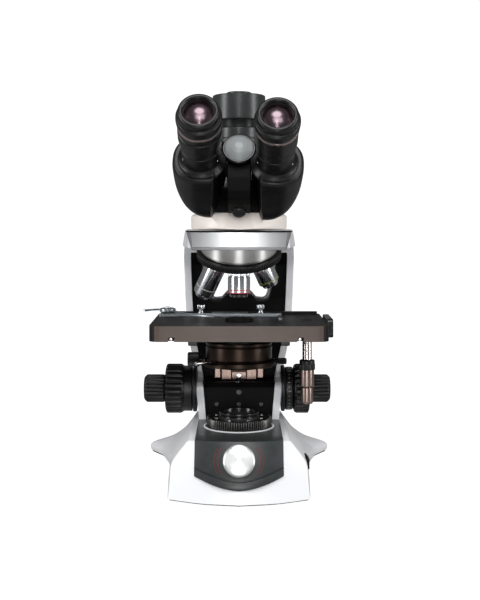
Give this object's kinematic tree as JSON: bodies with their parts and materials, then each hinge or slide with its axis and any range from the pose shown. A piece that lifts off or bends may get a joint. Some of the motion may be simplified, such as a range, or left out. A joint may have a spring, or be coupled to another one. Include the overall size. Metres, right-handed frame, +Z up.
{
  "type": "microscope",
  "caption": "Upright trinocular compound microscope: inclined binocular head, reversed objective turret, mechanical stage, condenser and lit base.",
  "frame": {"origin": "middle of the footprint, on the table", "axes": "+Z up, -Y towards the viewer who looks into the eyepieces, +X to that viewer's right"},
  "size_m": [0.2218, 0.3251, 0.409],
  "materials": {
    "white_plastic": "semi-gloss moulded white",
    "black_paint": "fine satin black",
    "black_rubber": "matt",
    "satin_metal": "brushed",
    "chrome": "polished",
    "glass": "coated",
    "stage_black": "hard black, warm satin",
    "board_green": "solder mask"
  },
  "bodies": {
    "root": {"base_shell": "white_plastic", "base_plate": "black_paint", "foot_1": "black_rubber", "foot_2": "black_rubber", "foot_3": "black_rubber", "foot_4": "black_rubber", "front_panel": "black_paint", "deck_plate": "black_paint", "lamp_house": "black_paint", "field_lens": "glass", "led_module": "satin_metal", "circuit_board": "board_green", "power_socket": "black_paint", "arm_shell": "white_plastic", "arm_core": "black_paint", "fascia_band": "satin_metal", "nosepiece_housing": "satin_metal"},
    "field_ring": {"field_ring": "black_paint"},
    "dial": {"brightness_dial": "satin_metal"},
    "rocker": {"power_rocker": "black_paint"},
    "turret": {"turret_ring": "black_paint", "objective_4x": "chrome", "objective_10x": "chrome", "objective_40x": "chrome", "objective_100x": "chrome"},
    "coarse": {"left_coarse_knob": "black_paint", "right_coarse_knob": "black_paint", "coarse_tube": "satin_metal"},
    "fine": {"left_fine_knob": "black_paint", "right_fine_knob": "black_paint", "fine_shaft": "satin_metal"},
    "tension": {"tension_ring": "black_paint"},
    "lift": {"lift_slide": "black_paint", "stage_carrier": "black_paint", "stage_lower": "stage_black"},
    "stage_top": {"stage_upper": "stage_black"},
    "y_drive": {"drive_shaft": "chrome", "y_knob": "black_paint"},
    "x_drive": {"x_knob": "black_paint"},
    "specimen": {"slide_holder": "satin_metal", "thumbscrew_left": "satin_metal", "thumbscrew_right": "satin_metal"},
    "finger": {"slide_finger": "satin_metal"},
    "condenser": {"condenser_mount": "black_paint", "condenser_body": "black_paint"},
    "iris": {"iris_lever": "satin_metal"},
    "centring": {"centring_screw": "satin_metal"},
    "condenser_drive": {"condenser_knob": "black_paint"},
    "head": {"head_base": "white_plastic", "head_body": "black_paint", "hinge_cap": "satin_metal", "photo_tube": "black_paint", "port_cap": "black_paint"},
    "left_arm": {"left_housing": "black_paint", "left_eyepiece": "black_paint", "left_eye_lens": "glass"},
    "diopter": {"diopter_ring": "black_paint"},
    "right_arm": {"right_housing": "black_paint", "right_eyepiece": "black_paint", "right_eye_lens": "glass"}
  },
  "joints": [
    {"name": "head_turn", "type": "hinge", "parent": "root", "child": "head", "pos_m": [0, -0.00045, 0.27], "axis": [0, 0, 1], "continuous": true},
    {"name": "left_arm_swing", "type": "hinge", "parent": "head", "child": "left_arm", "pos_m": [0, -0.07545, 0.3465], "axis": [0, -0.866, 0.5], "range_deg": [-1, 12]},
    {"name": "right_arm_swing", "type": "hinge", "parent": "head", "child": "right_arm", "pos_m": [0, -0.07545, 0.3465], "axis": [0, -0.866, 0.5], "range_deg": [-12, 1]},
    {"name": "diopter_turn", "type": "hinge", "parent": "left_arm", "child": "diopter", "pos_m": [-0.03669, -0.08249, 0.3343], "axis": [0, -0.866, 0.5], "range_deg": [-120, 120]},
    {"name": "turret_turn", "type": "hinge", "parent": "root", "child": "turret", "pos_m": [0, -0.00045, 0.278], "axis": [0, -0.3939, 0.9191], "continuous": true},
    {"name": "stage_lift", "type": "slide", "parent": "root", "child": "lift", "axis": [0, 0, 1], "range_m": [-0.016, 0.001]},
    {"name": "coarse_turn", "type": "hinge", "parent": "root", "child": "coarse", "pos_m": [0, 0.05455, 0.0898], "axis": [1, 0, 0], "range_deg": [-155, 12]},
    {"name": "fine_turn", "type": "hinge", "parent": "root", "child": "fine", "pos_m": [0, 0.05455, 0.0898], "axis": [1, 0, 0], "continuous": true},
    {"name": "tension_turn", "type": "hinge", "parent": "root", "child": "tension", "pos_m": [0, 0.05455, 0.0898], "axis": [1, 0, 0], "range_deg": [-40, 40]},
    {"name": "stage_y", "type": "slide", "parent": "lift", "child": "stage_top", "axis": [0, 1, 0], "range_m": [-0.02, 0.02]},
    {"name": "y_drive_turn", "type": "hinge", "parent": "stage_top", "child": "y_drive", "pos_m": [0.071, -0.00545, 0], "axis": [0, 0, 1], "range_deg": [-255, 255]},
    {"name": "specimen_x", "type": "slide", "parent": "stage_top", "child": "specimen", "axis": [1, 0, 0], "range_m": [-0.01, 0.03]},
    {"name": "x_drive_turn", "type": "hinge", "parent": "stage_top", "child": "x_drive", "pos_m": [0.071, -0.00545, 0], "axis": [0, 0, 1], "range_deg": [-130, 380]},
    {"name": "finger_swing", "type": "hinge", "parent": "specimen", "child": "finger", "pos_m": [-0.077, 0.03455, 0.1756], "axis": [0, 0, 1], "range_deg": [-25, 0], "stiffness_Nm_per_rad": 0.02, "springref_deg": 20.05},
    {"name": "condenser_lift", "type": "slide", "parent": "lift", "child": "condenser", "axis": [0, 0, 1], "range_m": [-0.006, 0.004]},
    {"name": "condenser_knob_turn", "type": "hinge", "parent": "condenser", "child": "condenser_drive", "pos_m": [0, 0.00555, 0.128], "axis": [1, 0, 0], "range_deg": [-70, 48]},
    {"name": "iris_turn", "type": "hinge", "parent": "condenser", "child": "iris", "pos_m": [0, -0.00045, 0.1285], "axis": [0, 0, 1], "range_deg": [-14, 14]},
    {"name": "centring_turn", "type": "hinge", "parent": "condenser", "child": "centring", "pos_m": [0, -0.00045, 0.1285], "axis": [0.9703, -0.2419, 0], "continuous": true},
    {"name": "field_ring_turn", "type": "hinge", "parent": "root", "child": "field_ring", "pos_m": [0, -0.00045, 0], "axis": [0, 0, 1], "range_deg": [-60, 60]},
    {"name": "dial_turn", "type": "hinge", "parent": "root", "child": "dial", "pos_m": [0, -0.08865, 0.042], "axis": [0, -0.9272, 0.3746], "range_deg": [-135, 135]},
    {"name": "rocker_tilt", "type": "hinge", "parent": "root", "child": "rocker", "pos_m": [0.069, -0.03845, 0.03], "axis": [0, 0, 1], "range_deg": [-7, 7]}
  ],
  "couplings": [
    {"joint": "right_arm_swing", "follows": "left_arm_swing", "ratio": -1},
    {"joint": "coarse_turn", "follows": "stage_lift", "rad_per_m": 166.67},
    {"joint": "y_drive_turn", "follows": "stage_y", "rad_per_m": 217.39},
    {"joint": "x_drive_turn", "follows": "specimen_x", "rad_per_m": 217.39},
    {"joint": "condenser_knob_turn", "follows": "condenser_lift", "rad_per_m": 200}
  ]
}
